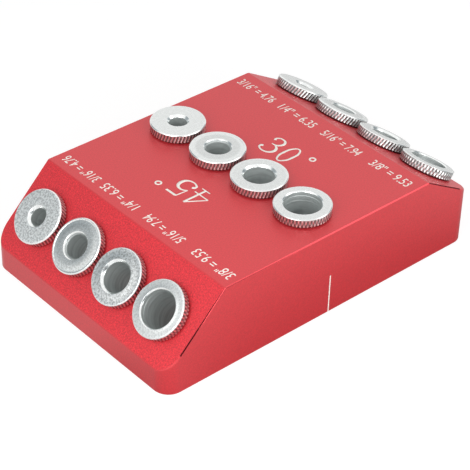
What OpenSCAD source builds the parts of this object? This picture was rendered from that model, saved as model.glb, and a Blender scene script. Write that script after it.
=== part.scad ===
/* [Block] */
// Length of the block, from the 45 degree end to the 30 degree end
block_l = 104; // [98:1:130]
// Width of the block, across the four drill sizes
block_w = 70.5; // [68:0.5:90]
// Height of the block
block_h = 25; // [23:0.5:32]
// Height of the upright end under the 45 degree face
steep_foot_h = 6.9; // [6:0.1:8]
// Height of the upright end under the 30 degree face
shallow_foot_h = 15.2; // [14:0.1:16]
// Angle of the steep face to the base, in degrees
steep_angle = 45; // [42:1:48]
// Angle of the shallow face to the base, in degrees
shallow_angle = 30; // [27:1:33]
// Radius of the four upright corners
corner_r = 4.5; // [2:0.5:8]
// Width of the broken edge along both sides of the upper faces
edge_break = 0.4; // [0.2:0.1:1]

/* [Rows of holes] */
// Distance of each row's smallest hole from the middle of the width
first_hole_y = 24.8; // [22:0.1:26]
// Spacing of the holes in a row
hole_pitch = 16.25; // [15.75:0.25:17]
// Distance of the upright row from the middle of the length
upright_row_x = 1.1; // [-6:0.1:6]
// Distance from the foot of the 45 degree face up to its hole centres
steep_row_s = 12.3; // [11:0.1:14]
// Distance from the foot of the 30 degree face up to its hole centres
shallow_row_s = 7.4; // [7:0.1:9]
// Radial room between a drill and its passage through the block
passage_gap = 0.4; // [0.2:0.1:0.7]

/* [Centre marks] */
// Height of the engraved centre line on each side
mark_h = 11.7; // [8:0.1:14]
// Width of the engraved centre line
mark_w = 0.5; // [0.3:0.1:0.8]
// Depth of the engraved centre line
mark_depth = 0.3; // [0.1:0.1:0.5]

/* [Drill bushings] */
// Diameter of the 3/16 inch drill
drill_3_16_d = 4.7625; // [4:0.0125:5]
// Diameter of the 1/4 inch drill
drill_1_4_d = 6.35; // [5.5:0.05:7]
// Diameter of the 5/16 inch drill
drill_5_16_d = 7.9375; // [7:0.0125:8.5]
// Diameter of the 3/8 inch drill
drill_3_8_d = 9.525; // [8.5:0.025:9.7]
// Diameter of the knurled heads
head_d = 15; // [14:0.1:15.4]
// Thickness of the knurled heads
head_t = 2.9; // [2.4:0.1:4]
// Bevel around the top of a head
head_break = 0.3; // [0.1:0.05:0.5]
// Teeth in the knurl around a head
knurl_count = 50; // [40:1:60]
// Depth of the knurl
knurl_depth = 0.3; // [0.15:0.05:0.4]
// Outside diameter of the threaded shanks
shank_d = 11.9; // [11.5:0.1:12.5]
// Length of a shank below its head
shank_l = 14; // [10:0.5:15]
// Spacing of the thread's ridges
thread_pitch = 1; // [0.75:0.25:1.5]
// Height of the thread's ridges
thread_depth = 0.5; // [0.3:0.05:0.6]
// Radial clearance of a shank in its hole
shank_gap = 0.05; // [0.02:0.01:0.1]

/* [Hidden] */
$fn = 96;
overrun = 1;

// Rows in the order 45 degree face, upright top, 30 degree face
STEEP = 0;
UPRIGHT = 1;
SHALLOW = 2;
row_tilts = [-steep_angle, 0, shallow_angle];
row_xs = [
    -block_l / 2 + steep_row_s * cos(steep_angle),
    upright_row_x,
    block_l / 2 - shallow_row_s * cos(shallow_angle)
];
row_zs = [
    steep_foot_h + steep_row_s * sin(steep_angle),
    block_h,
    shallow_foot_h + shallow_row_s * sin(shallow_angle)
];

// Where the sloping faces meet the top
steep_top_x = -block_l / 2 + (block_h - steep_foot_h) / tan(steep_angle);
shallow_top_x = block_l / 2 - (block_h - shallow_foot_h) / tan(shallow_angle);

// Sizes in a row, smallest drill first, with the bevel and the wider mouth of each bore
drill_ds = [drill_3_16_d, drill_1_4_d, drill_5_16_d, drill_3_8_d];
mouth_breaks = [0.6, 0.75, 0.5, 0.3];
mouth_depths = [0, 0, 0, 1.3];
mouth_gap = 0.2;
exit_break = 0.3;

// Holes in the block
hole_d = shank_d + 2 * shank_gap;
hole_depth_gap = 1;
hole_break = 0.4;

// Head of a bushing: a smooth rim over the knurl, and a core behind its teeth
head_r = head_d / 2;
rim_h = head_break + 0.1;
tooth_gap = 0.03;
tooth_r = head_r - tooth_gap;
valley_r = tooth_r - knurl_depth;
core_r = valley_r - tooth_gap;
under_break = 0.2;
knurl_h = head_t - rim_h - under_break;

// Shank of a bushing
crest_r = shank_d / 2;
root_r = crest_r - thread_depth;
neck_l = 1.2;
lead_l = 0.8;
thread_turns = floor((shank_l - neck_l - lead_l) / thread_pitch);
flank_share = 3 / 8;
crest_share = 1 / 8;

last_size = len(drill_ds) - 1;

function hole_y(size) = first_hole_y - size * hole_pitch;

// Puts what it holds at a hole's centre, with +Z standing out of the face
module at_hole(row, size) {
    translate([row_xs[row], hole_y(size), row_zs[row]])
        rotate([0, row_tilts[row], 0])
            children();
}

// Side view of the block, with both sloping faces
module side_profile() {
    polygon([
        [-block_l / 2, 0],
        [block_l / 2, 0],
        [block_l / 2, shallow_foot_h],
        [shallow_top_x, block_h],
        [steep_top_x, block_h],
        [-block_l / 2, steep_foot_h]
    ]);
}

// Plan of the block, with its four round corners
module rounded_plan() {
    corner_x = block_l / 2 - corner_r;
    corner_y = block_w / 2 - corner_r;
    square([block_l, 2 * corner_y], center = true);
    square([2 * corner_x, block_w], center = true);
    for (x = [-corner_x, corner_x], y = [-corner_y, corner_y])
        translate([x, y])
            circle(r = corner_r);
}

// Prism that takes the sharp edge off one face along one side of the block
module edge_cutter(x, z, tilt, side) {
    translate([x, side * (block_w / 2 - edge_break), z])
        rotate([0, tilt, 0])
            rotate([-side * 45, 0, 0])
                translate([-block_l, -block_w, 0])
                    cube([2 * block_l, 2 * block_w, block_h]);
}

module broken_edges() {
    for (side = [-1, 1]) {
        edge_cutter(steep_top_x, block_h, row_tilts[STEEP], side);
        edge_cutter(upright_row_x, block_h, row_tilts[UPRIGHT], side);
        edge_cutter(shallow_top_x, block_h, row_tilts[SHALLOW], side);
    }
}

// Hole for one bushing and the drill's way on to the base
module bushing_hole(row, size) {
    passage_r = drill_ds[size] / 2 + passage_gap;
    passage_l = row_zs[row] / cos(row_tilts[row]) + head_d;
    at_hole(row, size) {
        translate([0, 0, -shank_l - hole_depth_gap])
            cylinder(h = shank_l + hole_depth_gap + overrun, d = hole_d);
        translate([0, 0, -passage_l])
            cylinder(h = passage_l, r = passage_r);
        translate([0, 0, -hole_break])
            cylinder(h = hole_break + overrun, r1 = hole_d / 2, r2 = hole_d / 2 + hole_break + overrun);
    }
}

module centre_marks() {
    for (side = [-1, 1])
        translate([upright_row_x - mark_w / 2, side * block_w / 2 - mark_depth, -overrun])
            cube([mark_w, 2 * mark_depth, mark_h + overrun]);
}

module block() {
    color("firebrick")
        difference() {
            intersection() {
                rotate([90, 0, 0])
                    linear_extrude(height = block_w + 2 * overrun, center = true)
                        side_profile();
                linear_extrude(height = block_h)
                    rounded_plan();
            }
            broken_edges();
            for (row = [STEEP, UPRIGHT, SHALLOW], size = [0:last_size])
                bushing_hole(row, size);
            centre_marks();
        }
}

// Ring of knurl teeth between the core and the rim of a head
module knurl_teeth() {
    half_tooth = 180 / knurl_count;
    translate([0, 0, under_break])
        linear_extrude(height = knurl_h)
            polygon([for (i = [0:knurl_count - 1])
                each [
                    tooth_r * [cos(2 * i * half_tooth), sin(2 * i * half_tooth)],
                    valley_r * [cos((2 * i + 1) * half_tooth), sin((2 * i + 1) * half_tooth)]
                ]]);
}

// Head and threaded shank of a bushing, as one turned shape
module turned_blank() {
    ridges = [for (turn = [0:thread_turns - 1])
        let (z = -neck_l - turn * thread_pitch)
        each [
            [root_r, z],
            [crest_r, z - flank_share * thread_pitch],
            [crest_r, z - (flank_share + crest_share) * thread_pitch],
            [root_r, z - (2 * flank_share + crest_share) * thread_pitch]
        ]];
    rotate_extrude()
        polygon(concat(
            [
                [0, head_t],
                [head_r - head_break, head_t],
                [head_r, head_t - head_break],
                [head_r, head_t - rim_h],
                [core_r, head_t - rim_h],
                [core_r, under_break],
                [core_r - under_break, 0],
                [root_r, 0]
            ],
            ridges,
            [[root_r, -shank_l], [0, -shank_l]]
        ));
}

// Drill bore with its bevelled mouth and bevelled lower end
module drill_bore(size) {
    bore_r = drill_ds[size] / 2;
    mouth_r = mouth_depths[size] > 0 ? bore_r + mouth_gap : bore_r;
    mouth_break = mouth_breaks[size];
    translate([0, 0, -shank_l - overrun])
        cylinder(h = shank_l + head_t + 2 * overrun, r = bore_r);
    if (mouth_depths[size] > 0)
        translate([0, 0, head_t - mouth_depths[size]])
            cylinder(h = mouth_depths[size] + overrun, r = mouth_r);
    translate([0, 0, head_t - mouth_break])
        cylinder(h = mouth_break + overrun, r1 = mouth_r, r2 = mouth_r + mouth_break + overrun);
    translate([0, 0, -shank_l - overrun])
        cylinder(h = exit_break + overrun, r1 = bore_r + exit_break + overrun, r2 = bore_r);
}

module bushing(row, size) {
    color("silver")
        at_hole(row, size)
            difference() {
                union() {
                    turned_blank();
                    knurl_teeth();
                }
                drill_bore(size);
            }
}

block();
bushing(STEEP, 0);  // bushing_45_3_16
bushing(STEEP, 1);  // bushing_45_1_4
bushing(STEEP, 2);  // bushing_45_5_16
bushing(STEEP, 3);  // bushing_45_3_8
bushing(UPRIGHT, 0);  // bushing_90_3_16
bushing(UPRIGHT, 1);  // bushing_90_1_4
bushing(UPRIGHT, 2);  // bushing_90_5_16
bushing(UPRIGHT, 3);  // bushing_90_3_8
bushing(SHALLOW, 0);  // bushing_30_3_16
bushing(SHALLOW, 1);  // bushing_30_1_4
bushing(SHALLOW, 2);  // bushing_30_5_16
bushing(SHALLOW, 3);  // bushing_30_3_8
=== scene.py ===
import math

import bmesh
import bpy
from mathutils import Matrix, Vector


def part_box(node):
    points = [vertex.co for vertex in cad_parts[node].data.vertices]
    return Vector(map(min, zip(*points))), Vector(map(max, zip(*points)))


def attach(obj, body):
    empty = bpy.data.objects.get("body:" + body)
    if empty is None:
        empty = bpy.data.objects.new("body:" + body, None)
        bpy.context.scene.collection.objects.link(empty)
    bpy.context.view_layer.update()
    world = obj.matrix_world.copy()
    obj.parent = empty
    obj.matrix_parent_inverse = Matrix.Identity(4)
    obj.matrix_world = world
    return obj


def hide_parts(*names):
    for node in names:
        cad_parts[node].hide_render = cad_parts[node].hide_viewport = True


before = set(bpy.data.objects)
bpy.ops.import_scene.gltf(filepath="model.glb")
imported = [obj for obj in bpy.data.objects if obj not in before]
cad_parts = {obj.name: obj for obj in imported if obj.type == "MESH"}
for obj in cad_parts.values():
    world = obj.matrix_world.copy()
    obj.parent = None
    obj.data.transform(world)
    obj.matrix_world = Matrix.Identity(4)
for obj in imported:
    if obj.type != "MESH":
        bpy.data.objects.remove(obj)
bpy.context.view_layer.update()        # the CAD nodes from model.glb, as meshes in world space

bl_info = {
    "name": "Pocket Hole Jig",
    "version": (1, 0, 0),
    "blender": (4, 5, 0),
    "location": "View3D > Sidebar > Jig",
    "description": "Dresses the drilling jig: anodised block, knurled drill bushings, engraved scales and a studio",
    "category": "Add Mesh",
}

BLOCK_LOW, BLOCK_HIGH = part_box("block")
MM = 0.001
TURN = 2 * math.pi
SIZE_NAMES = ("3_16", "1_4", "5_16", "3_8")
ROW_NAMES = ("45", "90", "30")
LATHE_ATTRIBUTE = "lathe_place"
MERGE_GAP = 1e-6
CUTTER_OVERRUN = 1 * MM
HOLE_STEPS = 72
THREAD_STEPS = 48
CORNER_SEGMENTS = 14
# Least angles between faces at which an edge is bevelled, or stays sharp in the shading
BEVEL_LIMIT = math.radians(25)
BLOCK_CREASE = math.radians(30)
BUSHING_CREASE = math.radians(28)


# Settings

def length(name, text, default):
    return bpy.props.FloatProperty(
        name=name, description=text, default=default, min=0, unit="LENGTH", subtype="DISTANCE", precision=5)


def position(name, text, default):
    return bpy.props.FloatProperty(
        name=name, description=text, default=default, unit="LENGTH", subtype="DISTANCE", precision=5)


def angle(name, text, degrees):
    return bpy.props.FloatProperty(
        name=name, description=text, default=math.radians(degrees), unit="ROTATION", subtype="ANGLE")


def colour(name, text, default):
    return bpy.props.FloatVectorProperty(
        name=name, description=text, default=default, size=3, min=0, max=1, subtype="COLOR")


class JigBlockSettings(bpy.types.PropertyGroup):
    steep_foot: length("Steep foot", "Height of the upright end under the 45 degree face", 6.9 * MM)
    shallow_foot: length("Shallow foot", "Height of the upright end under the 30 degree face", 15.2 * MM)
    steep_angle: angle("Steep angle", "Angle of the steep face to the base", 45)
    shallow_angle: angle("Shallow angle", "Angle of the shallow face to the base", 30)
    corner_radius: length("Corner radius", "Radius of the upright corners", 4.5 * MM)
    edge_cut: length("Edge cut", "Width of the bright-cut bevel along the outer edges", 0.27 * MM)
    first_hole_y: position("First hole", "Place of the smallest holes across the block", 24.8 * MM)
    hole_pitch: length("Hole spacing", "Spacing of the holes in a row", 16.25 * MM)
    upright_row_x: position("Upright row", "Place of the upright row along the block", 1.1 * MM)
    steep_row: length("Steep row", "Distance of the holes up the 45 degree face", 12.3 * MM)
    shallow_row: length("Shallow row", "Distance of the holes up the 30 degree face", 7.4 * MM)
    hole_radius: length("Hole radius", "Radius of the holes that hold the bushings", 6 * MM)
    hole_depth: length("Hole depth", "Depth of the holes that hold the bushings", 15 * MM)
    hole_bevel: length("Hole bevel", "Bevel at the mouth of those holes", 0.4 * MM)
    passage_gap: length("Passage gap", "Radial room round a drill on its way to the base", 0.4 * MM)
    mark_height: length("Mark height", "Height of the engraved centre lines", 11.7 * MM)
    mark_width: length("Mark width", "Width of the engraved centre lines", 0.4 * MM)
    mark_depth: length("Mark depth", "Depth of the engraved centre lines", 0.12 * MM)
    red: colour("Anodised red", "Colour of the anodised block", (0.68, 0.03, 0.04))
    # Painted light: the sloping faces take a lighter copy of the anodised red
    slope_red_painted_light: colour("Slope red", "Colour of the two sloping faces", (0.745, 0.032, 0.045))
    edge_red: colour("Edge red", "Colour of the bright-cut edges", (0.5, 0.058, 0.068))


class JigBushingSettings(bpy.types.PropertyGroup):
    head_radius: length("Head radius", "Radius of the knurled heads", 7.5 * MM)
    head_thickness: length("Head thickness", "Thickness of the knurled heads", 2.9 * MM)
    rim_height: length("Rim height", "Height of the smooth rim over the knurl", 0.38 * MM)
    rim_bevel: length("Rim bevel", "Bevel round the top of a head", 0.28 * MM)
    # The band under the knurl takes the knurled steel, whose painted shade makes it darkest
    under_height: length("Lower band", "Height of the dark band under the knurl", 0.45 * MM)
    under_width: length("Lower taper", "How much narrower the dark band gets towards the block", 0.3 * MM)
    knurl_core: length("Knurl core", "How far the core behind the knurl lies inside the rim", 0.3 * MM)
    knurl_gap: length("Knurl gap", "How far the knurl stays inside the rim", 0.03 * MM)
    knurl_count: bpy.props.IntProperty(
        name="Grooves", description="Grooves of either slant around a head", default=50, min=12)
    knurl_rows: bpy.props.IntProperty(
        name="Knurl rows", description="Quarter turns of the knurl's pattern in its height", default=3, min=1)
    shank_radius: length("Shank radius", "Radius of the shank at its thread's crests", 5.95 * MM)
    shank_length: length("Shank length", "Length of the shank below the head", 14 * MM)
    thread_depth: length("Thread depth", "Height of the thread", 0.5 * MM)
    thread_pitch: length("Thread pitch", "Rise of the thread in one turn", 1 * MM)
    thread_turns: bpy.props.IntProperty(
        name="Thread turns", description="Turns of the thread", default=12, min=1)
    steel: colour("Plated steel", "Colour of the plated bushings", (0.8, 0.82, 0.81))
    bore_grey: colour("Bore grey", "Colour of the dull bores", (0.72, 0.77, 0.76))


class JigMarkingSettings(bpy.types.PropertyGroup):
    figure_height: length("Figure height", "Height of the large angle figures", 7.7 * MM)
    figure_weight: bpy.props.FloatProperty(
        name="Figure weight", description="Thickening of the pen strokes of the large figures", default=1.3, min=0.1)
    figure_relief: length("Figure relief", "How far the thickest stroke of a figure stands up", 0.02 * MM)
    steep_baseline: length("45 baseline", "Distance of the foot of the 45 from the middle", 11.5 * MM)
    shallow_baseline: length("30 baseline", "Distance of the foot of the 30 from the middle", 11.85 * MM)
    figure_start: position("Figure start", "Where an angle figure starts across the block", -5.35 * MM)
    label_height: length("Label height", "Height of the digits of the size labels", 3.1 * MM)
    label_length: length("Label length", "Length of a size label", 14 * MM)
    steep_label_x: length("45 label line", "Distance of the left labels' line from the middle", 28.6 * MM)
    shallow_label_x: length("30 label line", "Distance of the right labels' line from the middle", 29.0 * MM)
    label_relief: length("Label relief", "How far a size label stands up", 0.01 * MM)
    white: colour("Marking white", "Colour of the laser-marked figures and lines", (1.0, 0.93, 0.86))


# Radii of the four bores in millimetres, smallest first
BORE_RADII = (4.7625 / 2, 6.35 / 2, 7.9375 / 2, 9.525 / 2)
# Mouth of each bore in millimetres, from its wall out to the face: (beyond the bore's radius, below the face)
MOUTHS = (
    ((0, 0.65), (0.62, 0)),
    ((0, 0.75), (0.26, 0.5), (0.3, 0.3), (0.62, 0)),
    ((0, 0.6), (0.55, 0)),
    ((0, 2.75), (0.05, 2.65), (0.05, 1.4), (0.14, 1.25), (0.16, 0.3), (0.46, 0)),
)
# Turned rings of each face: (share of the way from the mouth to the rim, depth in millimetres)
FACE_RINGS = (
    ((0.3, 0.03), (0.65, 0.03)),
    ((0.4, 0), (0.5, 0.02), (0.8, 0.13), (0.87, 0.14), (0.91, 0.06), (0.96, 0.03)),
    ((0.25, 0.03), (0.55, 0.06), (0.85, 0.05)),
    ((0.2, 0.02), (0.5, 0.05), (0.62, 0.02), (0.85, 0.03)),
)
# How far the rim of each face lies below its mouth, in millimetres
FACE_CROWNS = (0.04, 0.08, 0.22, 0.18)
# Smooth outer band of each face: its inner radius in millimetres, and the tone of the face inside it
FACE_BANDS = ((7, 0.97), (5.9, 0.85), (6.8, 0.92), (6.9, 0.95))
# How far the tone fades to either side of a band's edge, in millimetres
BAND_FADE = 0.3
# Plating of each row's faces, smallest first: strength of its grain, contrast of its mottle, and roughness
FACE_PLATING = {
    "45": ((1.6, 0.3, 0.33), (0.4, 0.16, 0.26), (0.7, 0.32, 0.29), (0.6, 0.14, 0.36)),
    "90": ((0.5, 0.06, 0.28), (0.3, 0.06, 0.27), (0.5, 0.07, 0.26), (0.25, 0.05, 0.25)),
    "30": ((0.5, 0.08, 0.28), (0.3, 0.08, 0.27), (0.5, 0.08, 0.26), (0.25, 0.06, 0.25)),
}
# Depths in millimetres of each knurl's two families of slanted grooves
KNURL_DEPTHS = ((0.19, 0.04), (0.16, 0.07), (0.17, 0.06), (0.13, 0.11))


# Places of the holes

def row_seat(row):
    """(x, z, tilt) of a row's hole centres on its face."""
    s = bpy.context.scene.jig_block
    if row == "45":
        along = s.steep_row
        return (BLOCK_LOW.x + along * math.cos(s.steep_angle),
                s.steep_foot + along * math.sin(s.steep_angle), -s.steep_angle)
    if row == "30":
        along = s.shallow_row
        return (BLOCK_HIGH.x - along * math.cos(s.shallow_angle),
                s.shallow_foot + along * math.sin(s.shallow_angle), s.shallow_angle)
    return s.upright_row_x, BLOCK_HIGH.z, 0.0


def hole_y(size):
    s = bpy.context.scene.jig_block
    return s.first_hole_y - size * s.hole_pitch


def hole_matrix(row, size):
    x, z, tilt = row_seat(row)
    return Matrix.Translation((x, hole_y(size), z)) @ Matrix.Rotation(tilt, 4, "Y")


def top_edge_x(row):
    """Where a sloping face meets the top."""
    s = bpy.context.scene.jig_block
    if row == "45":
        return BLOCK_LOW.x + (BLOCK_HIGH.z - s.steep_foot) / math.tan(s.steep_angle)
    return BLOCK_HIGH.x - (BLOCK_HIGH.z - s.shallow_foot) / math.tan(s.shallow_angle)


# Modelling helpers

def deselect():
    if bpy.context.object and bpy.context.object.mode != "OBJECT":
        bpy.ops.object.mode_set(mode="OBJECT")
    bpy.ops.object.select_all(action="DESELECT")


def pick(*pieces):
    """Selects only these objects and makes the last one active."""
    deselect()
    for piece in pieces:
        piece.select_set(True)
    bpy.context.view_layer.objects.active = pieces[-1]


def place(piece, matrix):
    """Moves a piece by moving its mesh, so that its object stays at the origin."""
    piece.data.transform(matrix)


def add_object(name, data):
    """A new object in the scene that holds a mesh, curve, lamp or camera."""
    piece = bpy.data.objects.new(name, data)
    bpy.context.collection.objects.link(piece)
    return piece


def add_box(location, scale):
    """A box about that place, whose object stays at the origin."""
    deselect()
    bpy.ops.mesh.primitive_cube_add(size=1, location=location, scale=scale)
    bpy.ops.object.transform_apply(location=True, rotation=True, scale=True)
    return bpy.context.object


def select_where(piece, kind, test):
    """In edit mode, selects just the verts, edges or faces that pass a test."""
    bpy.ops.mesh.select_mode(type={"verts": "VERT", "edges": "EDGE", "faces": "FACE"}[kind])
    bpy.ops.mesh.select_all(action="DESELECT")
    mesh = bmesh.from_edit_mesh(piece.data)
    for element in getattr(mesh, kind):
        if test(element):
            element.select_set(True)
    mesh.select_flush_mode()
    bmesh.update_edit_mesh(piece.data)


def apply_modifier(piece, kind, **settings):
    pick(piece)
    modifier = piece.modifiers.new(kind.title(), kind)
    for name, value in settings.items():
        setattr(modifier, name, value)
    bpy.ops.object.modifier_apply(modifier=modifier.name)


def turned(name, profile, steps):
    """A solid turned on a lathe about Z from a profile of (radius, height) points."""
    mesh = bpy.data.meshes.new(name)
    points = [(r, 0, z) for r, z in profile]
    edges = [(i, (i + 1) % len(points)) for i in range(len(points))]
    if profile[0][0] == 0 and profile[-1][0] == 0:
        edges.pop()
    mesh.from_pydata(points, edges, [])
    piece = add_object(name, mesh)
    pick(piece)
    bpy.ops.object.mode_set(mode="EDIT")
    bpy.ops.mesh.select_all(action="SELECT")
    bpy.ops.mesh.spin(steps=steps, angle=TURN, center=(0, 0, 0), axis=(0, 0, 1), use_auto_merge=True)
    tidy_surface()
    bpy.ops.object.mode_set(mode="OBJECT")
    return piece


def tidy_surface():
    """In edit mode, joins doubled points and turns the faces outwards."""
    bpy.ops.mesh.select_all(action="SELECT")
    bpy.ops.mesh.remove_doubles(threshold=MERGE_GAP)
    bpy.ops.mesh.normals_make_consistent(inside=False)


def softened(points, steps=3):
    """The (r, z) points of a profile, with each corner that has a third value rounded by that much."""
    out = []
    count = len(points)
    for i, point in enumerate(points):
        here = Vector(point[:2])
        if len(point) < 3:
            out.append(tuple(here))
            continue
        before = Vector(points[i - 1][:2])
        after = Vector(points[(i + 1) % count][:2])
        start = here + (before - here).normalized() * point[2]
        end = here + (after - here).normalized() * point[2]
        for k in range(steps + 1):
            t = k / steps
            out.append(tuple(start * (1 - t) ** 2 + here * 2 * t * (1 - t) + end * t ** 2))
    return out


# Materials

# Scales of the grains and marks, in features a metre
BLAST_SCALE = 2600
EDGE_SCALE = 900
MOTTLE_SCALE = 1800
TURNED_SCALE = 1200
DRILL_SCALE = 900
DUST_SCALE = 6000


def new_material(name):
    """A node material, with its nodes, links and surface shader."""
    material = bpy.data.materials.new(name)
    material.use_nodes = True
    tree = material.node_tree
    return material, tree, tree.nodes["Principled BSDF"]


def set_inputs(node, **values):
    """Sets a node's inputs by their names, with underscores for spaces."""
    for name, value in values.items():
        node.inputs[name.replace("_", " ").title()].default_value = value


def object_coordinates(tree):
    return tree.nodes.new("ShaderNodeTexCoord").outputs["Object"]


def noise(tree, scale, detail=2.0, roughness=0.5, vector=None):
    node = tree.nodes.new("ShaderNodeTexNoise")
    set_inputs(node, scale=scale, detail=detail, roughness=roughness)
    tree.links.new(vector or object_coordinates(tree), node.inputs["Vector"])
    return node.outputs["Fac"]


def ramp(tree, value, stops):
    """A colour ramp of (place, brightness) or (place, colour) stops."""
    node = tree.nodes.new("ShaderNodeValToRGB")
    elements = node.color_ramp.elements
    while len(elements) < len(stops):
        elements.new(0.5)
    for element, (at, tone) in zip(elements, stops):
        element.position = at
        element.color = (*tone, 1) if isinstance(tone, (tuple, list)) else (tone, tone, tone, 1)
    tree.links.new(value, node.inputs["Fac"])
    return node.outputs["Color"]


def bump(tree, shader, height, strength, distance):
    node = tree.nodes.new("ShaderNodeBump")
    set_inputs(node, strength=strength, distance=distance)
    tree.links.new(height, node.inputs["Height"])
    tree.links.new(node.outputs["Normal"], shader.inputs["Normal"])


def mapped(tree, value, low, high, at_low, at_high, smooth=False):
    """A value mapped from low..high to at_low..at_high, and held beyond them."""
    node = tree.nodes.new("ShaderNodeMapRange")
    if smooth:
        node.interpolation_type = "SMOOTHSTEP"
    set_inputs(node, from_min=low, from_max=high, to_min=at_low, to_max=at_high)
    tree.links.new(value, node.inputs["Value"])
    return node.outputs["Result"]


def shade(colour_value, factor):
    return tuple(min(1.0, c * factor) for c in colour_value)


def anodised(name, red, contrast, relief, coat):
    """Red anodised aluminium: blasted grain under a clear hard skin."""
    material, tree, shader = new_material(name)
    grain = noise(tree, BLAST_SCALE, detail=3, roughness=0.7)
    tint = ramp(tree, grain, [(0.35, shade(red, 1 - contrast)), (0.65, shade(red, 1 + contrast))])
    tree.links.new(tint, shader.inputs["Base Color"])
    set_inputs(shader, metallic=0.35, roughness=0.46, coat_weight=coat, coat_roughness=0.35)
    bump(tree, shader, grain, 0.5, relief)
    return material


def anodised_material():
    return anodised("anodised_red", tuple(bpy.context.scene.jig_block.red), 0.1, 0.02 * MM, 0.6)


def slope_material():
    """The two sloping faces: the anodised red painted lighter, as painted light, with a coarser grain of more contrast.
    """
    return anodised("anodised_slope", tuple(bpy.context.scene.jig_block.slope_red_painted_light), 0.26, 0.08 * MM, 0.3)


def edge_material():
    """Bright-cut edge: the same red on smooth bare metal."""
    material, tree, shader = new_material("edge_red")
    red = tuple(bpy.context.scene.jig_block.edge_red)
    cuts = noise(tree, EDGE_SCALE, detail=1)
    tint = ramp(tree, cuts, [(0.3, shade(red, 0.92)), (0.7, red)])
    tree.links.new(tint, shader.inputs["Base Color"])
    set_inputs(shader, metallic=1, roughness=0.2)
    return material


def lathe_coordinates(tree):
    """Position of a point in its bushing's own frame, whose Z is the lathe's axis."""
    node = tree.nodes.new("ShaderNodeAttribute")
    node.attribute_name = LATHE_ATTRIBUTE
    return node.outputs["Vector"]


def vector_math(tree, operation, vector, fixed=None, output="Vector"):
    """A changing vector, alone or with a fixed one, put through a Vector Math operation."""
    node = tree.nodes.new("ShaderNodeVectorMath")
    node.operation = operation
    if fixed is not None:
        node.inputs[1].default_value = fixed
    tree.links.new(vector, node.inputs[0])
    return node.outputs[output]


def combined(tree, operation, first, second):
    """Two changing values put together by a Math operation."""
    node = tree.nodes.new("ShaderNodeMath")
    node.operation = operation
    tree.links.new(first, node.inputs[0])
    tree.links.new(second, node.inputs[1])
    return node.outputs["Value"]


def lathe_radius(tree):
    """Distance of a point from its bushing's axis."""
    across = vector_math(tree, "MULTIPLY", lathe_coordinates(tree), (1, 1, 0))
    return vector_math(tree, "LENGTH", across, output="Value")


def scaled(tree, tint, factor):
    """A colour times a changing factor."""
    node = tree.nodes.new("ShaderNodeVectorMath")
    node.operation = "SCALE"
    tree.links.new(tint, node.inputs[0])
    tree.links.new(factor, node.inputs["Scale"])
    return node.outputs["Vector"]


def face_material(row, size):
    """Plated steel of one bushing's face and shank: mottled and grained."""
    steel = tuple(bpy.context.scene.jig_bushing.steel)
    material, tree, shader = new_material("plated_steel_%s_%s" % (row, SIZE_NAMES[size]))
    grain, mottle, roughness = FACE_PLATING[row][size]
    cloud = noise(tree, MOTTLE_SCALE, detail=3, roughness=0.7, vector=lathe_coordinates(tree))
    tint = ramp(tree, cloud, [(0.42, shade(steel, 1 - mottle)), (0.56, shade(steel, 1 + 0.7 * mottle))])
    band_edge, inner_tone = FACE_BANDS[size]
    band = mapped(tree, lathe_radius(tree), (band_edge - BAND_FADE) * MM, (band_edge + BAND_FADE) * MM, inner_tone, 1)
    tree.links.new(scaled(tree, tint, band), shader.inputs["Base Color"])
    set_inputs(shader, metallic=1)
    rough = ramp(tree, cloud, [(0.3, roughness * 1.2), (0.7, roughness * 0.8)])
    tree.links.new(rough, shader.inputs["Roughness"])
    bump(tree, shader, cloud, grain, 0.07 * MM)
    return material


def rim_material():
    """Plated steel turned smooth, on the rims and the mouths."""
    steel = tuple(bpy.context.scene.jig_bushing.steel)
    material, tree, shader = new_material("turned_steel")
    cloud = noise(tree, TURNED_SCALE, detail=2, vector=lathe_coordinates(tree))
    tint = ramp(tree, cloud, [(0.3, shade(steel, 1.1)), (0.7, shade(steel, 1.22))])
    tree.links.new(tint, shader.inputs["Base Color"])
    set_inputs(shader, metallic=1, roughness=0.2)
    return material


def knurl_material():
    """Plated steel, bright where the knurling wheel left it standing, with painted shade that darkens it down in its
    grooves and on the band under the knurl.
    """
    s = bpy.context.scene.jig_bushing
    steel = tuple(s.steel)
    material, tree, shader = new_material("knurled_steel")
    crest, painted_shade_depth = s.head_radius - s.knurl_gap, 0.2 * MM
    # Painted shade: the steel darkens with depth below the crests, darkest in the grooves and on the band under the
    # knurl
    groove = mapped(tree, lathe_radius(tree), crest - painted_shade_depth, crest, 0, 1)
    tint = ramp(tree, groove, [(0.0, shade(steel, 0.22)), (0.4, shade(steel, 0.45)), (0.75, shade(steel, 0.94))])
    tree.links.new(tint, shader.inputs["Base Color"])
    set_inputs(shader, metallic=1)
    rough = ramp(tree, groove, [(0.1, 0.45), (0.7, 0.36)])
    tree.links.new(rough, shader.inputs["Roughness"])
    return material


def bore_material():
    """Dull drilled steel, with the rings that the drill left, and painted light that makes it lighter deeper down."""
    grey = tuple(bpy.context.scene.jig_bushing.bore_grey)
    material, tree, shader = new_material("bored_steel")
    round_the_axis = vector_math(tree, "MULTIPLY", lathe_coordinates(tree), (0.1, 0.1, 1))
    rings = noise(tree, DRILL_SCALE, detail=3, roughness=0.7, vector=round_the_axis)
    tint = ramp(tree, rings, [(0.3, shade(grey, 0.8)), (0.7, shade(grey, 1.2))])
    along = tree.nodes.new("ShaderNodeSeparateXYZ")
    tree.links.new(lathe_coordinates(tree), along.inputs[0])
    # Painted light: lighter deeper down the bore, against the shade that gathers there, and darker towards the mouth
    depth = mapped(tree, along.outputs["Z"], -4 * MM, 2 * MM, 0.85, 0.68)
    tree.links.new(scaled(tree, tint, depth), shader.inputs["Base Color"])
    set_inputs(shader, metallic=0.55, roughness=0.5)
    bump(tree, shader, rings, 0.4, 0.05 * MM)
    return material


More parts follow.
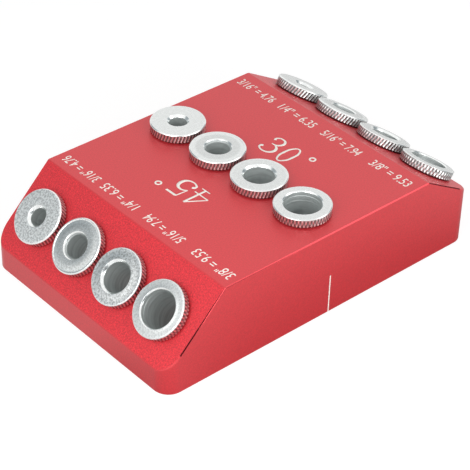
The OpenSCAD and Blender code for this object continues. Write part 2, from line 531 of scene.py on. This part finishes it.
def marking_material():
    """Laser-marked surface: pale, dry and slightly uneven."""
    pale = tuple(bpy.context.scene.jig_marking.white)
    material, tree, shader = new_material("laser_white")
    dust = noise(tree, DUST_SCALE, detail=2)
    tint = ramp(tree, dust, [(0.3, shade(pale, 0.9)), (0.7, shade(pale, 1.05))])
    tree.links.new(tint, shader.inputs["Base Color"])
    set_inputs(shader, roughness=0.7)
    bump(tree, shader, dust, 0.2, 0.01 * MM)
    return material


def material_of(name, make):
    """The material of that name, made the first time it is asked for."""
    return bpy.data.materials.get(name) or make()


# The block

def hole_cutter(row, size):
    """Turned cutter for one bushing's hole and the drill's passage on to the base."""
    s = bpy.context.scene.jig_block
    over = CUTTER_OVERRUN
    _, seat_z, tilt = row_seat(row)
    passage_r = BORE_RADII[size] * MM + s.passage_gap
    passage_l = seat_z / math.cos(tilt) + 2 * s.hole_radius
    profile = [
        (0, over),
        (s.hole_radius + s.hole_bevel + over, over),
        (s.hole_radius, -s.hole_bevel),
        (s.hole_radius, -s.hole_depth),
        (passage_r, -s.hole_depth),
        (passage_r, -passage_l),
        (0, -passage_l),
    ]
    cutter = turned("cutter_%s_%s" % (row, SIZE_NAMES[size]), profile, HOLE_STEPS)
    place(cutter, hole_matrix(row, size))
    return cutter


def mark_cutter(side):
    """Cutter for the engraved centre line of one side."""
    s = bpy.context.scene.jig_block
    return add_box(
        (s.upright_row_x, side * BLOCK_HIGH.y, (s.mark_height - CUTTER_OVERRUN) / 2),
        (s.mark_width, 2 * s.mark_depth, s.mark_height + CUTTER_OVERRUN))


def block_blank():
    """The block before drilling: a bar with round corners, cut to its two slopes, with soft edges."""
    s = bpy.context.scene.jig_block
    block = add_box((BLOCK_LOW + BLOCK_HIGH) / 2, BLOCK_HIGH - BLOCK_LOW)
    block.name = block.data.name = "jig_block"
    bpy.ops.object.mode_set(mode="EDIT")
    select_where(block, "edges", lambda e: abs(e.verts[0].co.z - e.verts[1].co.z) > s.steep_foot)
    bpy.ops.mesh.bevel(offset=s.corner_radius, segments=CORNER_SEGMENTS, affect="EDGES")
    for row, tilt in (("45", -s.steep_angle), ("30", s.shallow_angle)):
        bpy.ops.mesh.select_all(action="SELECT")
        bpy.ops.mesh.bisect(
            plane_co=(top_edge_x(row), 0, BLOCK_HIGH.z), plane_no=(math.sin(tilt), 0, math.cos(tilt)),
            use_fill=True, clear_outer=True)
    bpy.ops.mesh.select_all(action="SELECT")
    bpy.ops.mesh.remove_doubles(threshold=MERGE_GAP)
    bpy.ops.object.mode_set(mode="OBJECT")
    plain, cut, slope = range(3)
    for name, make in (
            ("anodised_red", anodised_material), ("edge_red", edge_material), ("anodised_slope", slope_material)):
        block.data.materials.append(material_of(name, make))
    lowest_slope, highest_slope = 0.3, 0.95
    for face in block.data.polygons:
        if lowest_slope < face.normal.z < highest_slope:
            face.material_index = slope
    apply_modifier(block, "BEVEL", width=s.edge_cut, segments=1, limit_method="ANGLE",
                   angle_limit=BEVEL_LIMIT, material=cut)
    # The cut shines along the sides only, and not across the block or round the corners at the slopes' feet
    least_sideways = 0.69
    for face in block.data.polygons:
        if face.material_index == cut and face.normal.z > lowest_slope and abs(face.normal.y) < least_sideways:
            face.material_index = plain
    return block


class JIG_OT_block(bpy.types.Operator):
    """Makes the anodised block with its twelve holes and its centre marks"""
    bl_idname = "jig.block"
    bl_label = "Block"

    def execute(self, context):
        block = block_blank()
        cutters = [hole_cutter(row, size) for row in ROW_NAMES for size in range(len(SIZE_NAMES))]
        cutters += [mark_cutter(side) for side in (-1, 1)]
        pick(*cutters)
        bpy.ops.object.join()
        cutter = bpy.context.object
        apply_modifier(block, "BOOLEAN", operation="DIFFERENCE", solver="EXACT", object=cutter)
        bpy.data.objects.remove(cutter)
        pick(block)
        bpy.ops.object.shade_smooth_by_angle(angle=BLOCK_CREASE)
        apply_modifier(block, "WEIGHTED_NORMAL", keep_sharp=True, weight=100)
        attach(block, "block")
        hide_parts("block")
        return {"FINISHED"}


# The bushings

def bushing_profile(size):
    """Half section of a bushing in metres, from the lower end of its bore round its outside."""
    s = bpy.context.scene.jig_bushing
    bore = BORE_RADII[size] * MM
    top = s.head_thickness
    root = s.shank_radius - s.thread_depth
    tooth = s.head_radius - s.knurl_gap
    core = s.head_radius - s.knurl_core
    knurl_low, knurl_high = s.under_height, top - s.rim_height
    rows = [(tooth, knurl_low + (knurl_high - knurl_low) * k / s.knurl_rows) for k in range(s.knurl_rows + 1)]
    exit_bevel = 0.3 * MM
    crisp, rim_round = 0.04 * MM, 0.1 * MM
    mouth = [(bore + out * MM, top - down * MM, crisp) for out, down in reversed(MOUTHS[size])]
    inner, outer = mouth[0][0], s.head_radius - s.rim_bevel
    crown = FACE_CROWNS[size] * MM
    face = [(inner + (outer - inner) * share, top - down * MM - crown * share)
            for share, down in reversed(FACE_RINGS[size])]
    return softened([
        (bore, -s.shank_length + exit_bevel),
        (bore + exit_bevel, -s.shank_length),
        (root - exit_bevel, -s.shank_length),
        (root, -s.shank_length + exit_bevel),
        (root, 0),
        (core - s.under_width, 0),
        (core, knurl_low),
        *rows,
        (s.head_radius, knurl_high),
        (s.head_radius, top - crown - s.rim_bevel, rim_round),
        (outer, top - crown, rim_round),
        *face,
        *mouth,
    ])


def cut_knurl(piece, size):
    """In edit mode, presses in two families of slanted grooves, a quarter of a groove to each point."""
    s = bpy.context.scene.jig_bushing
    tooth = s.head_radius - s.knurl_gap
    low, high = s.under_height, s.head_thickness - s.rim_height
    step = (high - low) / s.knurl_rows
    slack = 0.01 * MM

    def on_knurl(vert):
        return abs(math.hypot(vert.co.x, vert.co.y) - tooth) < slack and low - slack < vert.co.z < high + slack

    def grid_place(vert):
        """Quarter of a groove round the head, and row up the knurl."""
        turns = math.atan2(vert.co.y, vert.co.x) / TURN
        return round(turns * 4 * s.knurl_count), round((vert.co.z - low) / step)

    mesh = bmesh.from_edit_mesh(piece.data)
    mesh.verts.index_update()
    grid = {vert.index: grid_place(vert) for vert in mesh.verts if on_knurl(vert)}
    half_way, floor = 0.5, 1.0
    for slant, depth in zip((-1, 1), KNURL_DEPTHS[size]):
        for phase, share in ((1, half_way), (2, floor), (3, half_way)):
            chosen = {i for i, (column, row) in grid.items() if (column + slant * row) % 4 == phase}
            select_where(piece, "verts", lambda vert: vert.index in chosen)
            press = 1 - share * depth * MM / tooth
            bpy.ops.transform.resize(value=(press, press, 1), center_override=(0, 0, 0))
    crossings = {i for i, (column, row) in grid.items() if (column + row) % 2 == 0}
    select_where(piece, "verts", lambda vert: vert.index in crossings)
    bpy.ops.mesh.vert_connect()


def finish_steel(piece, size):
    """Notes each point's place on the lathe, and gives bore, knurl and rim their steel. The face gets its own later."""
    s = bpy.context.scene.jig_bushing
    place_on_lathe = piece.data.attributes.new(LATHE_ATTRIBUTE, "FLOAT_VECTOR", "POINT")
    for vert, value in zip(piece.data.vertices, place_on_lathe.data):
        value.vector = vert.co
    piece.data.materials.clear()
    piece.data.materials.append(None)
    for name, make in (("bored_steel", bore_material), ("knurled_steel", knurl_material),
                       ("turned_steel", rim_material)):
        piece.data.materials.append(material_of(name, make))
    bore = BORE_RADII[size] * MM
    slack = 0.01 * MM
    bore_side = bore + 0.3 * MM
    bore_top = s.head_thickness - MOUTHS[size][-2][1] * MM
    knurl_side = s.head_radius - s.knurl_core - s.under_width
    knurl_top = s.head_thickness - s.rim_height
    mouth_side, rim_side = bore + MOUTHS[size][-1][0] * MM, s.head_radius - s.rim_bevel
    bored, knurled, smooth = range(1, 4)
    for face in piece.data.polygons:
        spot = face.center
        radius = math.hypot(spot.x, spot.y)
        if radius < bore_side and spot.z < bore_top:
            face.material_index = bored
        elif radius > knurl_side and 0 < spot.z < knurl_top - slack:
            face.material_index = knurled
        elif spot.z >= bore_top and (radius < mouth_side or radius > rim_side and spot.z > knurl_top):
            face.material_index = smooth


def thread_ridge():
    """The shank's thread: one ridge wound down the core."""
    s = bpy.context.scene.jig_bushing
    sunk = 0.05 * MM
    root = s.shank_radius - s.thread_depth - sunk
    pitch = s.thread_pitch
    start = -0.8 * MM
    crest_starts, crest_ends, ridge_ends = 3 / 8, 1 / 2, 7 / 8
    profile = [
        (root, start), (s.shank_radius, start - crest_starts * pitch),
        (s.shank_radius, start - crest_ends * pitch), (root, start - ridge_ends * pitch),
    ]
    mesh = bpy.data.meshes.new("thread")
    mesh.from_pydata([(r, 0, z) for r, z in profile], [(0, 1), (1, 2), (2, 3), (3, 0)], [])
    ridge = add_object("thread", mesh)
    apply_modifier(ridge, "SCREW", axis="Z", angle=TURN, screw_offset=-pitch,
                   iterations=s.thread_turns, steps=THREAD_STEPS, render_steps=THREAD_STEPS)
    bpy.ops.object.mode_set(mode="EDIT")
    bpy.ops.mesh.select_all(action="SELECT")
    bpy.ops.mesh.fill_holes(sides=4)
    tidy_surface()
    bpy.ops.object.mode_set(mode="OBJECT")
    return ridge


def bushing_blank(size):
    """One bushing standing at the origin, with its seat at height zero."""
    s = bpy.context.scene.jig_bushing
    piece = turned("bushing", bushing_profile(size), 4 * s.knurl_count)
    bpy.ops.object.mode_set(mode="EDIT")
    cut_knurl(piece, size)
    bpy.ops.object.mode_set(mode="OBJECT")
    ridge = thread_ridge()
    pick(ridge, piece)
    bpy.ops.object.join()
    bpy.ops.object.shade_smooth_by_angle(angle=BUSHING_CREASE)
    finish_steel(piece, size)
    return piece


class JIG_OT_bushings(bpy.types.Operator):
    """Makes the twelve knurled drill bushings and seats them in their holes"""
    bl_idname = "jig.bushings"
    bl_label = "Bushings"

    def execute(self, context):
        for size, size_name in enumerate(SIZE_NAMES):
            blank = bushing_blank(size)
            for row in ROW_NAMES:
                node = "bushing_%s_%s" % (row, size_name)
                piece = blank.copy()
                piece.data = blank.data.copy()
                piece.name = piece.data.name = "drill_" + node
                context.collection.objects.link(piece)
                piece.data.materials[0] = face_material(row, size)
                place(piece, hole_matrix(row, size))
                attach(piece, node)
                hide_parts(node)
            bpy.data.objects.remove(blank)
        return {"FINISHED"}


# The markings

# Pen strokes of the figures, in shares of their height: (along, up, half width) from the foot's left end
FIGURE_STROKES = {
    "4": (
        ("straight", ((0.00, 0.32, 0.020), (0.66, 0.32, 0.020))),
        ("straight", ((0.01, 0.33, 0.018), (0.45, 0.98, 0.024))),
        ("straight", ((0.46, 0.99, 0.034), (0.46, 0.04, 0.034))),
        ("straight", ((0.25, 0.02, 0.018), (0.64, 0.02, 0.018))),
    ),
    "5": (
        ("straight", ((0.09, 0.95, 0.038), (0.55, 0.96, 0.034))),
        ("straight", ((0.08, 0.97, 0.020), (0.04, 0.47, 0.018))),
        ("curved", ((0.04, 0.47, 0.016), (0.17, 0.57, 0.024), (0.30, 0.59, 0.030), (0.47, 0.52, 0.046),
                    (0.55, 0.35, 0.052), (0.53, 0.18, 0.046), (0.45, 0.08, 0.032), (0.29, 0.02, 0.022),
                    (0.10, 0.05, 0.024), (0.00, 0.13, 0.034), (0.03, 0.22, 0.048), (0.08, 0.24, 0.040))),
    ),
    "3": (
        ("curved", ((0.09, 0.77, 0.042), (0.04, 0.85, 0.030), (0.11, 0.96, 0.024), (0.26, 1.00, 0.026),
                    (0.43, 0.93, 0.036), (0.49, 0.79, 0.044), (0.44, 0.65, 0.038), (0.34, 0.57, 0.026),
                    (0.18, 0.54, 0.016))),
        ("curved", ((0.30, 0.56, 0.018), (0.44, 0.50, 0.032), (0.54, 0.40, 0.044), (0.57, 0.27, 0.048),
                    (0.50, 0.11, 0.040), (0.33, 0.02, 0.026), (0.13, 0.03, 0.024), (0.01, 0.12, 0.030),
                    (0.02, 0.21, 0.044), (0.08, 0.24, 0.040))),
    ),
    "0": (
        ("loop", ((0.00, 0.50, 0.036), (0.05, 0.84, 0.030), (0.21, 1.00, 0.022), (0.38, 0.84, 0.030),
                  (0.43, 0.50, 0.036), (0.38, 0.16, 0.030), (0.21, 0.00, 0.022), (0.05, 0.16, 0.030))),
    ),
    "degree": (
        ("loop", ((-0.10, 0, 0.026), (0, 0.10, 0.026), (0.10, 0, 0.026), (0, -0.10, 0.026))),
    ),
}
# Angle, its two figures, and the shares of their height at which each figure and the ring stand
ANGLE_FIGURES = (
    ("45", (("4", 0.00, 0.00), ("5", 0.82, 0.00), ("degree", 1.82, 0.93))),
    ("30", (("3", 0.00, 0.00), ("0", 0.84, 0.01), ("degree", 1.78, 0.95))),
)
# Size labels, smallest drill first, with where each starts along its row
SIZE_LABELS = ('3/16" = 4.76', '1/4" = 6.35', '5/16" = 7.94', '3/8" = 9.53')
STEEP_LABEL_STARTS = (18.9 * MM, 2.7 * MM, -14.7 * MM, -33.3 * MM)
SHALLOW_LABEL_STARTS = (33.3 * MM, 17.0 * MM, -0.3 * MM, -18.6 * MM)


def pen_stroke(kind, points, height):
    """A flat ribbon along one pen stroke, lying at height zero."""
    curve = bpy.data.curves.new("stroke", "CURVE")
    curve.dimensions = "3D"
    curve.bevel_depth = height
    curve.bevel_resolution = 1
    curve.use_fill_caps = True
    curve.resolution_u = 5
    spline = curve.splines.new("BEZIER")
    spline.bezier_points.add(len(points) - 1)
    spline.use_cyclic_u = kind == "loop"
    for knot, (along, up, half_width) in zip(spline.bezier_points, points):
        knot.co = (along * height, up * height, 0)
        knot.radius = half_width * bpy.context.scene.jig_marking.figure_weight
        knot.handle_left_type = knot.handle_right_type = "VECTOR" if kind == "straight" else "AUTO"
    return add_object("stroke", curve)


def reading_matrix(row, baseline, start):
    """Lays flat writing on the top, its foot towards the middle and its first letter at start."""
    side = -1 if row == "45" else 1
    along, up = Vector((0, -side, 0)), Vector((side, 0, 0))
    turn = Matrix((along, up, Vector((0, 0, 1)))).transposed().to_4x4()
    return Matrix.Translation((side * baseline, start, BLOCK_HIGH.z)) @ turn


def finish_marking(piece, name):
    piece.name = piece.data.name = name
    piece.data.materials.clear()
    piece.data.materials.append(material_of("laser_white", marking_material))
    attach(piece, "block")


class JIG_OT_angles(bpy.types.Operator):
    """Writes the two angles in large figures on the top"""
    bl_idname = "jig.angles"
    bl_label = "Angle figures"

    def execute(self, context):
        s = context.scene.jig_marking
        for row, figures in ANGLE_FIGURES:
            strokes = []
            for figure, along, up in figures:
                shift = Matrix.Translation((along * s.figure_height, up * s.figure_height, 0))
                for kind, points in FIGURE_STROKES[figure]:
                    stroke = pen_stroke(kind, points, s.figure_height)
                    place(stroke, shift)
                    strokes.append(stroke)
            pick(*strokes)
            bpy.ops.object.convert(target="MESH")
            bpy.ops.object.join()
            piece = context.object
            flat = s.figure_relief / max(v.co.z for v in piece.data.vertices)
            place(piece, Matrix.Diagonal((1, 1, flat, 1)))
            baseline = s.steep_baseline if row == "45" else s.shallow_baseline
            start = s.figure_start if row == "45" else -s.figure_start
            place(piece, reading_matrix(row, baseline, start))
            finish_marking(piece, "angle_" + row)
        return {"FINISHED"}


class JIG_OT_labels(bpy.types.Operator):
    """Writes the drill sizes beside the sloping rows"""
    bl_idname = "jig.labels"
    bl_label = "Size labels"

    def execute(self, context):
        s = context.scene.jig_marking
        # Digits of the built-in letters as they are drawn, before they are fitted
        digit_height, half_thickness = 0.73, 0.5
        rows = (("45", s.steep_label_x, STEEP_LABEL_STARTS), ("30", s.shallow_label_x, SHALLOW_LABEL_STARTS))
        for row, line, starts in rows:
            for size_name, label, start in zip(SIZE_NAMES, SIZE_LABELS, starts):
                deselect()
                bpy.ops.object.text_add()
                piece = context.object
                piece.data.body = label
                piece.data.extrude = half_thickness
                bpy.ops.object.convert(target="MESH")
                piece = context.object
                wide = max(v.co.x for v in piece.data.vertices)
                place(piece, Matrix.Diagonal((
                    s.label_length / wide, s.label_height / digit_height, s.label_relief / half_thickness, 1)))
                place(piece, reading_matrix(row, line, start))
                finish_marking(piece, "label_%s_%s" % (row, size_name))
        return {"FINISHED"}


class JIG_OT_centre_marks(bpy.types.Operator):
    """Fills the engraved centre line on each side with white"""
    bl_idname = "jig.centre_marks"
    bl_label = "Centre marks"

    def execute(self, context):
        s = context.scene.jig_block
        foot = s.edge_cut
        middle_share = 0.75
        depth = BLOCK_HIGH.y - middle_share * s.mark_depth
        for side, name in ((-1, "front"), (1, "back")):
            mark = add_box(
                (s.upright_row_x, side * depth, (s.mark_height + foot) / 2),
                (s.mark_width, s.mark_depth, s.mark_height - foot))
            finish_marking(mark, "centre_mark_" + name)
        return {"FINISHED"}


# Camera, lights and floor

CAMERA_AZIMUTH = -41.956
CAMERA_ELEVATION = 36.2214
CAMERA_ROLL = 1.633
CAMERA_DISTANCE = 0.462384
CAMERA_SLIDE = (0.0000373, -0.006253)
FOCAL_PIXELS = 1768.27
IMAGE_PIXELS = 470
SENSOR = 36
ROOM_LIGHT = 0.51
FLOOR_GREY = (0.3, 0.3, 0.3, 1)
# Glow of the floor towards the eye and in reflections
FLOOR_GLOW = 0.78
MIRRORED_GLOW = 0.55
# The jig's shadow in reflections of the floor: how it lies, how much longer it is than wide, and where it fades
SHADOW_SHIFT = (-0.004, 0.03, 0)
SHADOW_SCALE = (0.38, 1, 1)
SHADOW_FADE = (0.012, 0.04)
# Soft lamps: azimuth, elevation, distance in metres, width in metres and power in watts
LAMPS = (
    ("front_lamp", -6, 20, 0.36, 0.17, 0.55),
    ("left_lamp", -72, 36, 0.26, 0.18, 0.28),
    ("right_lamp", 42, 37, 0.36, 0.15, 0.13),
)
CARD_GREY = (0.46, 0.51, 0.54)
# Cards in the white room, seen only in reflections: azimuth, elevation, tone against the room's white, and the
# angles from its middle at which a card starts to fade and has faded out
ROOM_CARDS = (
    (-33, 22, 0.15, 10, 24),
    (76, 8, 0.3, 10, 26),
    (-158, 28, 0.36, 12, 30),
)


def aim(azimuth, elevation):
    """Unit vector from the jig towards a camera or lamp at those angles, in degrees."""
    a, e = math.radians(azimuth), math.radians(elevation)
    return Vector((math.sin(a) * math.cos(e), -math.cos(a) * math.cos(e), math.sin(e)))


def add_camera():
    data = bpy.data.cameras.new("camera")
    data.sensor_width = SENSOR
    data.lens = FOCAL_PIXELS / IMAGE_PIXELS * SENSOR
    data.clip_start = 0.01
    camera = add_object("camera", data)
    back = aim(CAMERA_AZIMUTH, CAMERA_ELEVATION)
    a = math.radians(CAMERA_AZIMUTH)
    level_right = Vector((math.cos(a), math.sin(a), 0))
    level_up = back.cross(level_right)
    roll = math.radians(CAMERA_ROLL)
    right = math.cos(roll) * level_right + math.sin(roll) * level_up
    up = -math.sin(roll) * level_right + math.cos(roll) * level_up
    middle = Vector((0, 0, BLOCK_HIGH.z / 2))
    eye = middle + back * CAMERA_DISTANCE + right * CAMERA_SLIDE[0] + up * CAMERA_SLIDE[1]
    turn = Matrix((right, up, back)).transposed().to_4x4()
    camera.matrix_world = Matrix.Translation(eye) @ turn
    bpy.context.scene.camera = camera


def add_softbox(name, azimuth, elevation, distance, size, power):
    data = bpy.data.lights.new(name, "AREA")
    data.shape = "SQUARE"
    data.size = size
    data.energy = power
    lamp = add_object(name, data)
    towards = aim(azimuth, elevation)
    lamp.location = towards * distance
    lamp.rotation_mode = "QUATERNION"
    lamp.rotation_quaternion = towards.to_track_quat("Z", "Y")


def mixed(tree, share, first, second):
    """The first shader where the share is 0, and the second where it is 1."""
    node = tree.nodes.new("ShaderNodeMixShader")
    for source, socket in zip((share, first, second), node.inputs):
        tree.links.new(source, socket)
    return node.outputs[0]


def studio_world():
    """White to the eye; in reflections a white room with a few toned cards; plain light otherwise."""
    world = bpy.data.worlds.new("studio")
    bpy.context.scene.world = world
    world.use_nodes = True
    tree = world.node_tree
    nodes, links = tree.nodes, tree.links
    white = (1, 1, 1, 1)
    room = nodes["Background"]
    set_inputs(room, color=white, strength=ROOM_LIGHT)
    eye = nodes.new("ShaderNodeBackground")
    set_inputs(eye, color=white, strength=1)
    mirrored = nodes.new("ShaderNodeBackground")
    set_inputs(mirrored, strength=1)
    direction = nodes.new("ShaderNodeTexCoord").outputs["Generated"]
    tone = None
    for azimuth, elevation, card_tone, near, far in ROOM_CARDS:
        facing = vector_math(tree, "DOT_PRODUCT", direction, aim(azimuth, elevation), output="Value")
        card = mapped(tree, facing, math.cos(math.radians(far)), math.cos(math.radians(near)),
                      1, card_tone, smooth=True)
        tone = card if tone is None else combined(tree, "MULTIPLY", tone, card)
    links.new(ramp(tree, tone, [(0, 0), (0.5, CARD_GREY), (1, 1)]), mirrored.inputs["Color"])
    path = nodes.new("ShaderNodeLightPath")
    unseen = mixed(tree, path.outputs["Is Glossy Ray"], room.outputs[0], mirrored.outputs[0])
    seen = mixed(tree, path.outputs["Is Camera Ray"], unseen, eye.outputs[0])
    links.new(seen, nodes["World Output"].inputs["Surface"])


def beside_block(tree):
    """1 on the floor beside the block, and 0 under it, where the drills' passages end."""
    nodes, links = tree.nodes, tree.links
    inset = 2 * MM
    folded = vector_math(tree, "ABSOLUTE", object_coordinates(tree))
    past_edge = vector_math(tree, "SUBTRACT", folded, (BLOCK_HIGH.x - inset, BLOCK_HIGH.y - inset, 0))
    sides = nodes.new("ShaderNodeSeparateXYZ")
    links.new(past_edge, sides.inputs[0])
    beside = nodes.new("ShaderNodeMath")
    beside.operation = "GREATER_THAN"
    beside.inputs[1].default_value = 0
    links.new(combined(tree, "MAXIMUM", sides.outputs["X"], sides.outputs["Y"]), beside.inputs[0])
    return beside.outputs["Value"]


def floor_material():
    """Pale floor that turns white to the eye, and in reflections too but for the jig's shadow at its front."""
    material, tree, shader = new_material("floor_white")
    nodes, links = tree.nodes, tree.links
    set_inputs(shader, base_color=FLOOR_GREY, roughness=0.9)
    shadow = nodes.new("ShaderNodeMapping")
    set_inputs(shadow, location=SHADOW_SHIFT, scale=SHADOW_SCALE)
    links.new(object_coordinates(tree), shadow.inputs["Vector"])
    reach = vector_math(tree, "LENGTH", shadow.outputs["Vector"], output="Value")
    past_shadow = mapped(tree, reach, *SHADOW_FADE, 0, MIRRORED_GLOW, smooth=True)
    path = nodes.new("ShaderNodeLightPath")
    to_mirror = combined(tree, "MULTIPLY", path.outputs["Is Glossy Ray"], past_shadow)
    to_eye = combined(tree, "MULTIPLY", path.outputs["Is Camera Ray"], beside_block(tree))
    strength = nodes.new("ShaderNodeMath")
    strength.operation = "MULTIPLY_ADD"
    strength.inputs[1].default_value = FLOOR_GLOW
    links.new(to_eye, strength.inputs[0])
    links.new(to_mirror, strength.inputs[2])
    glow = nodes.new("ShaderNodeEmission")
    links.new(strength.outputs["Value"], glow.inputs["Strength"])
    both = nodes.new("ShaderNodeAddShader")
    links.new(shader.outputs[0], both.inputs[0])
    links.new(glow.outputs[0], both.inputs[1])
    links.new(both.outputs[0], nodes["Material Output"].inputs["Surface"])
    return material


class JIG_OT_stage(bpy.types.Operator):
    """Sets up the floor, the soft lamps and the camera"""
    bl_idname = "jig.stage"
    bl_label = "Stage"

    def execute(self, context):
        deselect()
        bpy.ops.mesh.primitive_plane_add(size=4, location=(0, 0, BLOCK_LOW.z))
        floor = context.object
        floor.name = "floor"
        floor.data.materials.append(floor_material())
        studio_world()
        for lamp in LAMPS:
            add_softbox(*lamp)
        add_camera()
        context.scene.view_settings.view_transform = "Standard"
        return {"FINISHED"}


class JIG_PT_panel(bpy.types.Panel):
    """Lists the jig's pieces and settings"""
    bl_label = "Pocket Hole Jig"
    bl_idname = "JIG_PT_panel"
    bl_space_type = "VIEW_3D"
    bl_region_type = "UI"
    bl_category = "Jig"

    def draw(self, context):
        for operator in OPERATORS:
            self.layout.operator(operator.bl_idname)
        for settings in (context.scene.jig_block, context.scene.jig_bushing, context.scene.jig_marking):
            box = self.layout.box()
            for name in settings.__annotations__:
                box.prop(settings, name)


OPERATORS = (JIG_OT_stage, JIG_OT_block, JIG_OT_bushings, JIG_OT_angles, JIG_OT_labels, JIG_OT_centre_marks)
CLASSES = (JigBlockSettings, JigBushingSettings, JigMarkingSettings, *OPERATORS, JIG_PT_panel)


def register():
    for cls in CLASSES:
        bpy.utils.register_class(cls)
    bpy.types.Scene.jig_block = bpy.props.PointerProperty(type=JigBlockSettings)
    bpy.types.Scene.jig_bushing = bpy.props.PointerProperty(type=JigBushingSettings)
    bpy.types.Scene.jig_marking = bpy.props.PointerProperty(type=JigMarkingSettings)


def unregister():
    del bpy.types.Scene.jig_marking
    del bpy.types.Scene.jig_bushing
    del bpy.types.Scene.jig_block
    for cls in reversed(CLASSES):
        bpy.utils.unregister_class(cls)


def main():
    register()
    bpy.ops.jig.stage()
    bpy.ops.jig.block()
    bpy.ops.jig.bushings()
    bpy.ops.jig.angles()
    bpy.ops.jig.labels()
    bpy.ops.jig.centre_marks()


if __name__ == "__main__":
    main()
